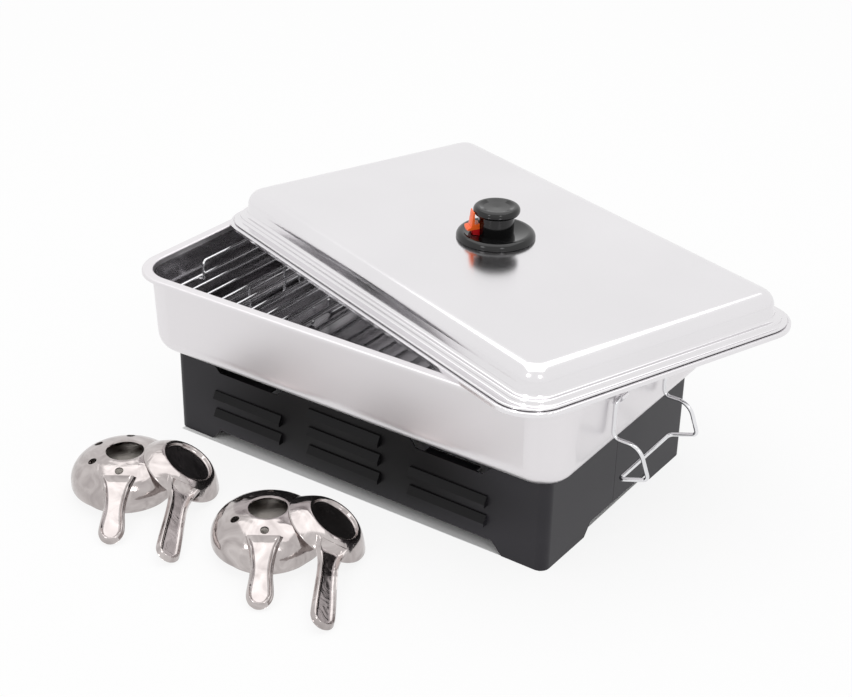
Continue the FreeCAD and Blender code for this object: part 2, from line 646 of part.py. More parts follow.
# Wire racks: a ring, cross wires welded on top of it, U-shaped legs and raised grips
def rack(name, inset, height, wires, legs):
    length = f"(pan_length - 2 * ({inset}) - rack_wire)"
    width = f"(pan_width - 2 * ({inset}) - rack_wire)"
    ring = new_body(f"{name}_ring")
    path = new_sketch(ring, "RingPath", "XY_Plane", height)
    rounded_rectangle(path, length, width, "rack_corner")
    section = new_sketch(ring, "RingSection", "YZ_Plane")
    circle(section, f"-{width} / 2", height, "rack_wire / 2")
    sweep(ring, section, path)
    place(ring)
    rods = []
    for index in range(wires):
        rod = doc.addObject("Part::Cylinder", f"{name}_rod")
        bind(rod, "Radius", "wire / 2")
        bind(rod, "Height", f"{width} + rack_wire / 2")
        rod.Placement = Placement(Vector(), Rotation(Vector(1, 0, 0), -90))
        bind(rod, "Placement.Base.x", f"{index - (wires - 1) / 2} * rack_pitch")
        bind(rod, "Placement.Base.y", f"-({width} + rack_wire / 2) / 2")
        bind(rod, "Placement.Base.z", f"{height} + rack_wire / 2 + wire / 2 - weld_sink")
        rods.append(rod)
    group = doc.addObject("Part::Compound", f"{name}_wires")
    group.Links = rods
    group.Label = f"{name}_wires"
    place(group)
    parts.append(group)
    rod_z = number(named(f"{height} + rack_wire / 2 + wire / 2 - weld_sink"))
    x = value("rack_pitch") * legs[0]
    radius = value("wire") / 2
    low = number(named(legs[1])) + radius
    top = rod_z - 2 * radius + value("weld_sink")
    loops = []
    for side in (-1, 1):
        for near, far in ((-value("leg_far"), -value("leg_near")),
                          (value("leg_near"), value("leg_far"))):
            corners = [Vector(side * x, near, top), Vector(side * x, near, low),
                       Vector(side * x, far, low), Vector(side * x, far, top)]
            loops.append(bent_wire(corners, [value("leg_bend")] * 2, radius))
    wire_feature(f"{name}_legs", loops)
    return rod_z


rack("low_rack", "rack_inset + 6", "low_rack_z", 23, (7, "pan_floor + tray_sheet"))
low_wire_top = "low_rack_z + rack_wire / 2 + wire - weld_sink"
top_rod_z = rack("top_rack", "rack_inset", "top_rack_z", 23, (9, f"{low_wire_top} + rack_seat"))
grips = []
radius = value("wire") / 2
ring_x = (value("pan_length") - value("rack_wire")) / 2 - value("rack_inset")
for side in (-1, 1):
    x = side * (ring_x - value("grip_inset"))
    half = value("grip_half")
    low = value("top_rack_z")
    high = top_rod_z + value("grip_rise")
    start = side * (ring_x - value("rack_wire") / 2 + value("grip_sink"))
    corners = [Vector(start, -half, low), Vector(x, -half, low), Vector(x, -half, high),
               Vector(x, half, high), Vector(x, half, low), Vector(start, half, low)]
    bends = [value("grip_foot_bend"), value("grip_bend")]
    grips.append(bent_wire(corners, bends + bends[::-1], radius))
wire_feature("top_rack_grips", grips)


# Bail handles: bent wire, each pivoting in two ears on the pan's end wall
def bail(side):
    x = side * value("bail_x")
    z = value("bail_z")
    out = [(0, 0), (0, 0), (0, -value("bail_drop")), (value("bail_out"), -value("bail_drop")),
           (value("bail_reach"), -value("bail_lower")),
           (value("bail_bar_x"), -value("bail_bar_drop"))]
    half = value("bail_half")
    centre = value("bail_shift")
    inner = half - value("bail_pin")
    front = [Vector(x + side * dx, centre - (inner if index == 0 else half), z + dz)
             for index, (dx, dz) in enumerate(out)]
    back = [Vector(point.x, 2 * centre - point.y, point.z) for point in reversed(front)]
    bends = [value(f"bail_{name}") for name in ("top_bend", "elbow", "shoulder", "heel",
                                                "bar_bend")]
    return bent_wire(front + back, bends + bends[::-1], value("bail_wire") / 2)


for side, hand in ((1, "right"), (-1, "left")):
    wire_feature(f"bail_{hand}", [bail(side)])


# Ears: a strap with a rolled eye for the wire's end, flat on the pan's leaning wall
def ear(label, side, end):
    body = new_body(label)
    strap = new_sketch(body, "Strap", "XZ_Plane")
    outline(strap, [
        (f"({side}) * (ear_sheet - ear_stand_off)", "-ear_drop"),
        (f"({side}) * (ear_sheet - ear_stand_off)", "ear_rise"),
        (f"-({side}) * ear_stand_off", "ear_rise"),
        (f"-({side}) * ear_stand_off", "-ear_drop"),
    ])
    pad(body, strap, "ear_length", both_ways=True)
    eye = new_sketch(body, "Eye", "XZ_Plane")
    circle(eye, "0", "0", "ear_bore + ear_wall")
    pad(body, eye, "ear_length", both_ways=True)
    bore = new_sketch(body, "Bore", "XZ_Plane")
    circle(bore, "0", "0", "ear_bore")
    cut(body, bore, "2 * ear_length")
    middle = "bail_half - bail_top_bend - ear_end_gap - ear_length / 2"
    place(body, f"({side}) * bail_x", f"bail_shift + ({end}) * ({middle})", "bail_z",
          f"({side}) * atan(wall_lean)", Vector(0, 1, 0))


for side, hand in (("1", "right"), ("-1", "left")):
    for end, where in (("-1", "front"), ("1", "rear")):
        ear(f"ear_{hand}_{where}", side, end)


# Pressed handle: a channel with raised edges that bends down off a 45 degree cone
def handle_solid(name, piece, low, high, inset):
    # piece names the sizes of the cone's root, the handle's length, its tip and its slope
    cone = {"burner": "dome_cone", "snuffer": "skirt_cone"}[piece]
    slope = f"{piece}_slope"
    tip = f"{piece}_tip_height"
    bend = "handle_bend"
    start_sum = f"({cone} - sqrt(2) * burner_sheet)"
    x = (f"(({start_sum} - {tip} + {bend} * (sqrt(2) - 1 / cos({slope}))"
         f" - {piece}_length * tan({slope})) / (1 - tan({slope})))")
    z = f"({start_sum} - {x} + sqrt(2) * {bend})"
    far = f"({piece}_length + 5)"
    far_z = f"({tip} - 5 * tan({slope}))"
    root = f"({piece}_root - 2)"
    profile = doc.addObject("Sketcher::SketchObject", f"{name}_profile")
    profile.Placement = Placement(Vector(), Rotation(Vector(1, 0, 0), 90))
    steps = []
    for shift in (low, high):
        run = [
            (root, f"{start_sum} - {root} + {shift}"),
            (f"{x} - {bend} / sqrt(2)", f"{z} - {bend} / sqrt(2) + {shift}"),
            (f"{x} - {bend} * sin({slope})", f"{z} - {bend} * cos({slope}) + {shift}",
             x, f"{z} + {shift}", bend),
            (far, f"{far_z} + {shift}"),
        ]
        steps.append(run)
    lower, upper = steps
    back = [upper[3], upper[2][:2], upper[1] + upper[2][2:], upper[0]]
    outline(profile, lower + back)
    band = doc.addObject("Part::Extrusion", f"{name}_band")
    band.Base = profile
    band.DirMode = "Normal"
    band.Symmetric = True
    band.Solid = True
    bind(band, "LengthFwd", "4 * handle_root")
    plan = doc.addObject("Sketcher::SketchObject", f"{name}_plan")
    bind(plan, "Placement.Base.z", f"{tip} - 10")
    root_half = f"(handle_root - {inset})"
    neck = f"(handle_neck - {inset})"
    round_tip = f"(handle_tip - {inset})"
    neck_x = f"({piece}_root + handle_waist)"
    tip_x = f"({piece}_length - handle_tip)"
    flare = "((handle_waist ^ 2 + (handle_root - handle_neck) ^ 2)" \
            " / (2 * (handle_root - handle_neck)))"
    outline(plan, [
        (f"{piece}_root", f"-{root_half}"),
        (neck_x, f"-{neck}", neck_x, f"-{neck} - {flare}", flare),
        (tip_x, f"-{round_tip}"),
        (f"{tip_x} + {round_tip}", "0", tip_x, "0", round_tip),
        (tip_x, round_tip, tip_x, "0", round_tip),
        (neck_x, neck),
        (f"{piece}_root", root_half, neck_x, f"{neck} + {flare}", flare),
    ])
    column = doc.addObject("Part::Extrusion", f"{name}_column")
    column.Base = plan
    column.DirMode = "Normal"
    column.Solid = True
    bind(column, "LengthFwd", f"{cone} + 20")
    solid = doc.addObject("Part::MultiCommon", name)
    solid.Shapes = [band, column]
    return solid


def pressed_handle(name, piece):
    outside = handle_solid(f"{name}_outside", piece, "0", "(burner_sheet + handle_edge)", "0")
    trough = handle_solid(f"{name}_trough", piece, "1.3 * burner_sheet", "2 * handle_root",
                          "burner_sheet")
    channel = doc.addObject("Part::Cut", f"{name}_channel")
    channel.Base = outside
    channel.Tool = trough
    return channel


def fused(label, shapes):
    joined = doc.addObject("Part::MultiFuse", label)
    joined.Shapes = shapes
    joined.Refine = True
    parts.append(joined)
    return joined


# Burners: a fuel cup with wool and gauze under a pressed top with a mouth and air holes
def burner_top(label):
    dome = new_body(f"{label}_dome")
    parts.remove(dome)
    section = new_sketch(dome, "Section", "XZ_Plane")
    drop = "(sqrt(2) * burner_sheet)"
    shoulder_z = "(dome_cone - burner_shoulder)"
    roll_x = "(burner_radius - burner_roll)"
    roll_z = "(burner_rim - burner_roll * (sqrt(2) - 1))"
    inner = "(burner_roll - burner_sheet)"
    outline(section, [
        ("burner_mouth", "burner_lip"),
        ("burner_mouth", "burner_lip - burner_sheet"),
        (f"burner_shoulder + burner_sheet - {drop}", f"{shoulder_z} - burner_sheet"),
        (f"{roll_x} + {inner} / sqrt(2)", f"{roll_z} + {inner} / sqrt(2)"),
        (f"{roll_x} + {inner}", roll_z, roll_x, roll_z, inner),
        (f"{roll_x} + {inner}", "burner_skirt"),
        ("burner_radius", "burner_skirt"),
        ("burner_radius", roll_z),
        (f"{roll_x} + burner_roll / sqrt(2)", f"{roll_z} + burner_roll / sqrt(2)", roll_x, roll_z,
         "burner_roll"),
        ("burner_shoulder", shoulder_z),
    ])
    revolve(dome, section)
    hole = new_sketch(dome, "AirHole")
    circle(hole, "air_hole_place", "0", "air_hole")
    first = cut(dome, hole, "3 * burner_lip")
    pattern = dome.newObject("PartDesign::PolarPattern", "AirHoles")
    pattern.Originals = [first]
    pattern.Axis = (plane(dome, "Z_Axis"), [""])
    pattern.Angle = 360
    pattern.Occurrences = 6
    dome.Tip = pattern
    doc.recompute()
    return fused(label, [dome, pressed_handle(label, "burner")])


def snuffer_cap(label):
    cap = new_body(f"{label}_cap")
    parts.remove(cap)
    section = new_sketch(cap, "Section", "XZ_Plane")
    dish_z = "(snuffer_height - snuffer_dish_depth)"
    drop = "(sqrt(2) * burner_sheet)"
    outline(section, [
        ("0", dish_z),
        ("0", f"{dish_z} - burner_sheet"),
        ("snuffer_dish - snuffer_dish_lean + burner_sheet", f"{dish_z} - burner_sheet"),
        (f"snuffer_crest + burner_sheet - {drop}", "snuffer_height - burner_sheet"),
        (f"skirt_cone - snuffer_flange + burner_sheet - {drop}", "snuffer_flange - burner_sheet"),
        ("snuffer_radius", "snuffer_flange - burner_sheet"),
        ("snuffer_radius", "snuffer_flange"),
        ("skirt_cone - snuffer_flange", "snuffer_flange"),
        ("snuffer_crest", "snuffer_height"),
        ("snuffer_dish", "snuffer_height"),
        ("snuffer_dish - snuffer_dish_lean", dish_z),
    ])
    revolve(cap, section)
    half = "snuffer_window / 2"
    for hand in ("-1", "1"):
        window = new_sketch(cap, "Window")
        middle = f"({hand}) * (snuffer_radius + snuffer_dish) / 2"
        outline(window, [
            (f"-{half}", f"{middle} - {half}"),
            (half, f"{middle} - {half}"),
            (half, f"{middle} + {half}"),
            (f"-{half}", f"{middle} + {half}"),
        ])
        cut(cap, window, "4 * snuffer_height")
    return fused(label, [cap, pressed_handle(label, "snuffer")])


def burner(number_text):
    x = f"burner_{number_text}_x"
    y = f"burner_{number_text}_y"
    cup = new_body(f"burner_{number_text}_cup")
    section = new_sketch(cup, "Section", "XZ_Plane")
    flange_z = "(burner_rim - 2 * burner_sheet)"
    flange_x = "(burner_radius - burner_sheet - cup_gap)"
    foot_x = "(burner_foot - burner_foot_round)"
    outline(section, [
        ("0", "0"),
        (foot_x, "0"),
        ("burner_foot", "burner_foot_round", foot_x, "burner_foot_round", "burner_foot_round"),
        ("burner_foot + cup_flare", f"{flange_z} - burner_sheet"),
        (flange_x, f"{flange_z} - burner_sheet"),
        (flange_x, flange_z),
        ("burner_foot + cup_flare - burner_sheet", flange_z),
        ("burner_foot - burner_sheet", "burner_foot_round"),
        (foot_x, "burner_sheet", foot_x, "burner_foot_round",
         "burner_foot_round - burner_sheet"),
        ("0", "burner_sheet"),
    ])
    revolve(cup, section)
    place(cup, x, y)
    wool = new_body(f"burner_{number_text}_wool")
    section = new_sketch(wool, "Section", "XZ_Plane")
    gauze_radius = "(dome_cone - sqrt(2) * burner_sheet - gauze_height - gauze_sheet - gauze_gap)"
    outline(section, [
        ("0", "burner_sheet"),
        (f"{foot_x} - wool_gap", "burner_sheet"),
        ("burner_foot - burner_sheet - wool_gap", "burner_rim"),
        (gauze_radius, "gauze_height"),
        ("0", "gauze_height"),
    ])
    revolve(wool, section)
    place(wool, x, y)
    gauze = new_body(f"burner_{number_text}_gauze")
    disc = new_sketch(gauze, "Disc", "XY_Plane", "gauze_height")
    circle(disc, "0", "0", gauze_radius)
    pad(gauze, disc, "gauze_sheet")
    place(gauze, x, y)
    top = burner_top(f"burner_{number_text}_top")
    place(top, x, y, "0", "burner_turn")
    snuffer = snuffer_cap(f"snuffer_{number_text}")
    at_x = f"set_x + {x} + snuffer_side * cos(snuffer_lean)"
    at_y = f"set_y + {y} + snuffer_side * sin(snuffer_lean)"
    turn = "rotationz(snuffer_lean) * rotationy(snuffer_tilt) * rotationz(snuffer_turn)"
    bind(snuffer, "Placement", f"placement(vector({at_x}; {at_y}; snuffer_lift); {turn})")


burner("1")
burner("2")

doc.recompute()
faults = [piece.Label for piece in doc.Objects
          if "Invalid" in piece.State or "Error" in piece.State]
faults += [piece.Label for piece in parts if piece.Shape.isNull() or not piece.Shape.isValid()]
if faults:
    raise RuntimeError("faults in " + ", ".join(faults))
os.makedirs("parts", exist_ok=True)
for piece in parts:
    piece.Shape.exportStep(f"parts/{piece.Label}.step")
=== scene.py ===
import bpy
import json
import math
from mathutils import Matrix, Vector


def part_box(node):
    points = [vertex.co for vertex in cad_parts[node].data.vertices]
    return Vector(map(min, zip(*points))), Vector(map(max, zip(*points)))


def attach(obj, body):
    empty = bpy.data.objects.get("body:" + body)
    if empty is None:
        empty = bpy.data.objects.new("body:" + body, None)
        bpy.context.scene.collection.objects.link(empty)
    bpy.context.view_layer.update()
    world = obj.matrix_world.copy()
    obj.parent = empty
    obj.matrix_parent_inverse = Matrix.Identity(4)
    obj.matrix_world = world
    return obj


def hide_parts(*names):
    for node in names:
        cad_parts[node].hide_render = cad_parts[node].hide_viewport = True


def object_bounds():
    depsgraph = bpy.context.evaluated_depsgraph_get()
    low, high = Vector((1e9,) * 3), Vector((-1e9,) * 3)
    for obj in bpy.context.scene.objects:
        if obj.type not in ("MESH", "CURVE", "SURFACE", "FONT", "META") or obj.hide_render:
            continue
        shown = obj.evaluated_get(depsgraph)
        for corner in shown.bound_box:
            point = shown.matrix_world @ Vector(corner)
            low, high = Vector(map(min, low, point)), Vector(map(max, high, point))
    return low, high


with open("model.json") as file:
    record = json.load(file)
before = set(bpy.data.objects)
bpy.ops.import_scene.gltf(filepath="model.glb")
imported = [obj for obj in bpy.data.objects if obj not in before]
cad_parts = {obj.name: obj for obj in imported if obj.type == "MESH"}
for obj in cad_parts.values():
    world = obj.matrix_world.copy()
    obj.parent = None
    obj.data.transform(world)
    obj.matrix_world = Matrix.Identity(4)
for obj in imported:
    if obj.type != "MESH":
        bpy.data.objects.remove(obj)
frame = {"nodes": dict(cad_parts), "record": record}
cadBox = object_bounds()
mm = 0.001
nodes = frame["nodes"]
print("frame loaded:", len(nodes), "nodes")


def srgb(hexColour):
    # sRGB hex to the linear values that Blender wants
    values = []
    for start in (1, 3, 5):
        part = int(hexColour[start:start + 2], 16) / 255
        values.append(part / 12.92 if part <= 0.04045 else ((part + 0.055) / 1.055) ** 2.4)
    return (*values, 1.0)


def boxMiddle(node):
    low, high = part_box(node)
    return (low + high) / 2


def addNode(tree, kind, settings=None, links=None):
    # one node with its settings; links maps its input sockets to other nodes' outputs
    node = tree.nodes.new(kind)
    for name, value in (settings or {}).items():
        if name in node.inputs:
            node.inputs[name].default_value = value
        else:
            setattr(node, name, value)
    for name, output in (links or {}).items():
        tree.links.new(output, node.inputs[name])
    return node


def newMaterial(name):
    material = bpy.data.materials.new(name)
    material.use_nodes = True
    shader = material.node_tree.nodes["Principled BSDF"]
    return material, material.node_tree, shader


def brushedSteel(name, steel):
    # rolled stainless sheet: fine lines along the rolling direction break up the reflections
    material, tree, shader = newMaterial(name)
    shader.inputs["Metallic"].default_value = 1.0
    place = addNode(tree, "ShaderNodeTexCoord")
    stretch = addNode(tree, "ShaderNodeMapping", {"Scale": steel["lines"]},
                      {"Vector": place.outputs["Object"]})
    grain = addNode(tree, "ShaderNodeTexNoise", {"Scale": 1.0, "Detail": 4.0, "Roughness": 0.6},
                    {"Vector": stretch.outputs["Vector"]})
    cloud = addNode(tree, "ShaderNodeTexNoise",
                    {"Scale": 1 / (steel["cloud"] * mm), "Detail": 2.0,
                     "Distortion": steel["swirl"]}, {"Vector": place.outputs["Object"]})
    tone = addNode(tree, "ShaderNodeMapRange", {"To Min": steel["roughLow"],
                                                "To Max": steel["roughHigh"]},
                   {"Value": grain.outputs["Fac"]})
    smear = addNode(tree, "ShaderNodeMapRange", {"To Min": -0.02, "To Max": 0.03},
                    {"Value": cloud.outputs["Fac"]})
    rough = addNode(tree, "ShaderNodeMath", {"operation": "ADD"})
    tree.links.new(tone.outputs["Result"], rough.inputs[0])
    tree.links.new(smear.outputs["Result"], rough.inputs[1])
    tree.links.new(rough.outputs["Value"], shader.inputs["Roughness"])
    shade = addNode(tree, "ShaderNodeMix", {"data_type": "RGBA"})
    shade.inputs[6].default_value = srgb(steel["dark"])
    shade.inputs[7].default_value = srgb(steel["light"])
    tree.links.new(cloud.outputs["Fac"], shade.inputs["Factor"])
    tree.links.new(shade.outputs[2], shader.inputs["Base Color"])
    dents = addNode(tree, "ShaderNodeBump", {"Strength": steel["dents"], "Distance": 0.001},
                    {"Height": cloud.outputs["Fac"]})
    bump = addNode(tree, "ShaderNodeBump", {"Strength": steel["bump"], "Distance": 0.00002},
                   {"Height": grain.outputs["Fac"], "Normal": dents.outputs["Normal"]})
    tree.links.new(bump.outputs["Normal"], shader.inputs["Normal"])
    return material


# rolled sheet for the lid, pressed sheet for the burners and caps, drawn wire, and the drip tray;
# cloud is the size of the colour patches in millimetres, swirl bends them, dents is their relief
satinSteel = brushedSteel("satinSteel", {
    "dark": "#E2E0E2", "light": "#EBE9EB", "lines": (14, 900, 900), "roughLow": 0.13,
    "roughHigh": 0.2, "bump": 0.03, "cloud": 110, "swirl": 0.0, "dents": 0.0})
# on the pressed sheet the dark swirled colour patches are painted dark reflections
polishedSteel = brushedSteel("polishedSteel", {
    "dark": "#8E8685", "light": "#D9D2D0", "lines": (220, 220, 220), "roughLow": 0.08,
    "roughHigh": 0.17, "bump": 0.04, "cloud": 16, "swirl": 1.4, "dents": 0.35})
platedWire = brushedSteel("platedWire", {
    "dark": "#D8D8DA", "light": "#EDEDEF", "lines": (160, 160, 160), "roughLow": 0.08,
    "roughHigh": 0.16, "bump": 0.03, "cloud": 60, "swirl": 0.0, "dents": 0.0})
traySteel = brushedSteel("traySteel", {
    "dark": "#A19FA2", "light": "#BBB9BC", "lines": (10, 300, 300), "roughLow": 0.2,
    "roughHigh": 0.24, "bump": 0.0, "cloud": 90, "swirl": 0.0, "dents": 0.0})


def facingOut(tree, place, middle):
    # 1 on faces that look away from the middle of the piece, 0 on its inside and its floor
    fromMiddle = addNode(tree, "ShaderNodeVectorMath", {"operation": "SUBTRACT"})
    tree.links.new(place.outputs["Object"], fromMiddle.inputs[0])
    fromMiddle.inputs[1].default_value = (middle.x, middle.y, 0)
    level = addNode(tree, "ShaderNodeVectorMath", {"operation": "MULTIPLY"})
    tree.links.new(fromMiddle.outputs["Vector"], level.inputs[0])
    level.inputs[1].default_value = (1, 1, 0)
    across = addNode(tree, "ShaderNodeVectorMath", {"operation": "DOT_PRODUCT"})
    tree.links.new(level.outputs["Vector"], across.inputs[0])
    tree.links.new(place.outputs["Normal"], across.inputs[1])
    return addNode(tree, "ShaderNodeMapRange", {"From Min": 0.02, "From Max": 0.05},
                   {"Value": across.outputs["Value"]}).outputs["Result"]


# the inside colour is painted shade; the smoother inside roughness is the sheet's finish
panSet = {"inside": "#B5B2B5", "outside": "#E6E3E5", "roughInside": 0.24, "roughOutside": 0.33,
          "rimDepth": 5, "cloud": 70}  # rim and cloud in millimetres


def drawnPanSteel():
    # deep-drawn stainless: dull satin outside and on the rim, smoother inside, and the inside
    # coloured darker as painted shade
    material, tree, shader = newMaterial("drawnPanSteel")
    shader.inputs["Metallic"].default_value = 1.0
    place = addNode(tree, "ShaderNodeTexCoord")
    parts = addNode(tree, "ShaderNodeSeparateXYZ", None, {"Vector": place.outputs["Object"]})
    rim = addNode(tree, "ShaderNodeMath", {"operation": "GREATER_THAN"})
    tree.links.new(parts.outputs["Z"], rim.inputs[0])
    rim.inputs[1].default_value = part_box("pan")[1].z - panSet["rimDepth"] * mm
    both = addNode(tree, "ShaderNodeMath", {"operation": "MAXIMUM"})
    tree.links.new(rim.outputs["Value"], both.inputs[0])
    tree.links.new(facingOut(tree, place, boxMiddle("pan")), both.inputs[1])
    outside = both.outputs["Value"]
    cloud = addNode(tree, "ShaderNodeTexNoise",
                    {"Scale": 1 / (panSet["cloud"] * mm), "Detail": 2.0},
                    {"Vector": place.outputs["Object"]})
    # painted shade: faces on the inside take the darker inside colour
    shade = addNode(tree, "ShaderNodeMix", {"data_type": "RGBA"}, {"Factor": outside})
    shade.inputs[6].default_value = srgb(panSet["inside"])
    shade.inputs[7].default_value = srgb(panSet["outside"])
    tree.links.new(shade.outputs[2], shader.inputs["Base Color"])
    sheen = addNode(tree, "ShaderNodeMapRange", {"To Min": panSet["roughInside"],
                                                 "To Max": panSet["roughOutside"]},
                    {"Value": outside})
    smear = addNode(tree, "ShaderNodeMapRange", {"To Min": -0.02, "To Max": 0.03},
                    {"Value": cloud.outputs["Fac"]})
    rough = addNode(tree, "ShaderNodeMath", {"operation": "ADD"})
    tree.links.new(sheen.outputs["Result"], rough.inputs[0])
    tree.links.new(smear.outputs["Result"], rough.inputs[1])
    tree.links.new(rough.outputs["Value"], shader.inputs["Roughness"])
    return material


standSet = {
    # the painted shade patch on the walls, in millimetres: sideways shift, height, half length,
    # half height
    "shift": 5, "height": 48, "half": 165, "rise": 46,
    "fadeFrom": 1.15, "fadeTo": 0.45,  # shares of the patch's reach where it starts and is full
    # paintDark and paintLight are the paint's own tones; the patch colour is painted shade
    "paintDark": "#2C2B2E", "paintLight": "#353338", "shadePatch": "#0B0A0C",
}


def stovePaint():
    # satin black stove paint on sheet steel: a fine orange-peel skin with a low, soft sheen
    material, tree, shader = newMaterial("stovePaint")
    place = addNode(tree, "ShaderNodeTexCoord")
    peel = addNode(tree, "ShaderNodeTexNoise", {"Scale": 1 / (1.2 * mm), "Detail": 2.0},
                   {"Vector": place.outputs["Object"]})
    dust = addNode(tree, "ShaderNodeTexNoise", {"Scale": 14.0, "Detail": 3.0},
                   {"Vector": place.outputs["Object"]})
    colour = addNode(tree, "ShaderNodeMix", {"data_type": "RGBA"})
    colour.inputs[6].default_value = srgb(standSet["paintDark"])
    colour.inputs[7].default_value = srgb(standSet["paintLight"])
    tree.links.new(dust.outputs["Fac"], colour.inputs["Factor"])
    # painted shade: the walls are coloured darker towards the middle, under the pan's overhang,
    # and the inside near black; whether that is paint, soot or shadow is not known
    middle = boxMiddle("pan")
    spot = addNode(tree, "ShaderNodeVectorMath", {"operation": "SUBTRACT"})
    tree.links.new(place.outputs["Object"], spot.inputs[0])
    spot.inputs[1].default_value = (middle.x + standSet["shift"] * mm, middle.y,
                                    standSet["height"] * mm)
    shape = addNode(tree, "ShaderNodeVectorMath", {"operation": "MULTIPLY"})
    tree.links.new(spot.outputs["Vector"], shape.inputs[0])
    shape.inputs[1].default_value = (1 / (standSet["half"] * mm), 0,
                                     1 / (standSet["rise"] * mm))
    reach = addNode(tree, "ShaderNodeVectorMath", {"operation": "LENGTH"})
    tree.links.new(shape.outputs["Vector"], reach.inputs[0])
    shadePatch = addNode(tree, "ShaderNodeMapRange",
                    {"From Min": standSet["fadeFrom"], "From Max": standSet["fadeTo"],
                     "interpolation_type": "SMOOTHSTEP"}, {"Value": reach.outputs["Value"]})
    inside = addNode(tree, "ShaderNodeMath", {"operation": "SUBTRACT"})
    inside.inputs[0].default_value = 1.0
    tree.links.new(facingOut(tree, place, middle), inside.inputs[1])
    wallShade = addNode(tree, "ShaderNodeMath", {"operation": "MAXIMUM"})
    tree.links.new(shadePatch.outputs["Result"], wallShade.inputs[0])
    tree.links.new(inside.outputs["Value"], wallShade.inputs[1])
    # painted shade: the louvre hoods' slopes are coloured darkest
    facing = addNode(tree, "ShaderNodeSeparateXYZ", None, {"Vector": place.outputs["Normal"]})
    hoodShade = addNode(tree, "ShaderNodeMapRange", {"From Min": 0.08, "From Max": 0.25},
                    {"Value": facing.outputs["Z"]})
    dark = addNode(tree, "ShaderNodeMath", {"operation": "MAXIMUM"})
    tree.links.new(wallShade.outputs["Value"], dark.inputs[0])
    tree.links.new(hoodShade.outputs["Result"], dark.inputs[1])
    shader.inputs["Specular IOR Level"].default_value = 0.2  # matt paint mirrors little white
    # mixes the paint towards the painted shade colour
    shaded = addNode(tree, "ShaderNodeMix", {"data_type": "RGBA"},
                     {"Factor": dark.outputs["Value"]})
    tree.links.new(colour.outputs[2], shaded.inputs[6])
    shaded.inputs[7].default_value = srgb(standSet["shadePatch"])
    tree.links.new(shaded.outputs[2], shader.inputs["Base Color"])
    rough = addNode(tree, "ShaderNodeMapRange", {"To Min": 0.36, "To Max": 0.46},
                    {"Value": dust.outputs["Fac"]})
    tree.links.new(rough.outputs["Result"], shader.inputs["Roughness"])
    bump = addNode(tree, "ShaderNodeBump", {"Strength": 0.15, "Distance": 0.00005},
                   {"Height": peel.outputs["Fac"]})
    tree.links.new(bump.outputs["Normal"], shader.inputs["Normal"])
    return material


def mouldedPlastic(name, low, high, roughness):
    # phenolic or nylon moulding: glossy skin with the faintest ripple
    material, tree, shader = newMaterial(name)
    place = addNode(tree, "ShaderNodeTexCoord")
    ripple = addNode(tree, "ShaderNodeTexNoise", {"Scale": 90.0, "Detail": 2.0},
                     {"Vector": place.outputs["Object"]})
    colour = addNode(tree, "ShaderNodeMix", {"data_type": "RGBA"})
    colour.inputs[6].default_value = srgb(low)
    colour.inputs[7].default_value = srgb(high)
    tree.links.new(ripple.outputs["Fac"], colour.inputs["Factor"])
    tree.links.new(colour.outputs[2], shader.inputs["Base Color"])
    rough = addNode(tree, "ShaderNodeMapRange", {"To Min": roughness, "To Max": roughness + 0.06},
                    {"Value": ripple.outputs["Fac"]})
    tree.links.new(rough.outputs["Result"], shader.inputs["Roughness"])
    bump = addNode(tree, "ShaderNodeBump", {"Strength": 0.05, "Distance": 0.0001},
                   {"Height": ripple.outputs["Fac"]})
    tree.links.new(bump.outputs["Normal"], shader.inputs["Normal"])
    return material


knobPlastic = mouldedPlastic("knobPlastic", "#050505", "#0C0C0D", 0.05)
redPlastic = mouldedPlastic("redPlastic", "#B8000E", "#CF0B16", 0.22)
orangePlastic = mouldedPlastic("orangePlastic", "#FF5E14", "#FF7024", 0.25)


def wovenGauze():
    # stainless wire cloth: two crossed sets of round wires with dark holes between
    material, tree, shader = newMaterial("wovenGauze")
    shader.inputs["Metallic"].default_value = 1.0
    shader.inputs["Roughness"].default_value = 0.35
    wires = 1.1 * mm  # real cloth has 0.6 mm spacing, drawn coarser so that it shows
    place = addNode(tree, "ShaderNodeTexCoord")
    waves = []
    for direction in ("X", "Y"):
        wave = addNode(tree, "ShaderNodeTexWave",
                       {"bands_direction": direction, "Scale": 2 * math.pi / (20 * wires)},
                       {"Vector": place.outputs["Object"]})
        waves.append(wave)
    weave = addNode(tree, "ShaderNodeMath", {"operation": "MAXIMUM"})
    tree.links.new(waves[0].outputs["Fac"], weave.inputs[0])
    tree.links.new(waves[1].outputs["Fac"], weave.inputs[1])
    ramp = addNode(tree, "ShaderNodeValToRGB", None, {"Fac": weave.outputs["Value"]})
    ramp.color_ramp.elements[0].position = 0.45
    ramp.color_ramp.elements[0].color = srgb("#26211F")
    ramp.color_ramp.elements[1].position = 0.9
    ramp.color_ramp.elements[1].color = srgb("#CFC9C2")
    tree.links.new(ramp.outputs["Color"], shader.inputs["Base Color"])
    bump = addNode(tree, "ShaderNodeBump", {"Strength": 0.8, "Distance": 0.0004},
                   {"Height": weave.outputs["Value"]})
    tree.links.new(bump.outputs["Normal"], shader.inputs["Normal"])
    return material


def mineralWool():
    # pressed white fibre that soaks up the spirit
    material, tree, shader = newMaterial("mineralWool")
    shader.inputs["Roughness"].default_value = 0.95
    place = addNode(tree, "ShaderNodeTexCoord")
    fibre = addNode(tree, "ShaderNodeTexNoise", {"Scale": 700.0, "Detail": 6.0, "Distortion": 2.0},
                    {"Vector": place.outputs["Object"]})
    ramp = addNode(tree, "ShaderNodeValToRGB", None, {"Fac": fibre.outputs["Fac"]})
    ramp.color_ramp.elements[0].color = srgb("#B9B4A8")
    ramp.color_ramp.elements[1].color = srgb("#EFECE4")
    tree.links.new(ramp.outputs["Color"], shader.inputs["Base Color"])
    bump = addNode(tree, "ShaderNodeBump", {"Strength": 0.6, "Distance": 0.0005},
                   {"Height": fibre.outputs["Fac"]})
    tree.links.new(bump.outputs["Normal"], shader.inputs["Normal"])
    return material


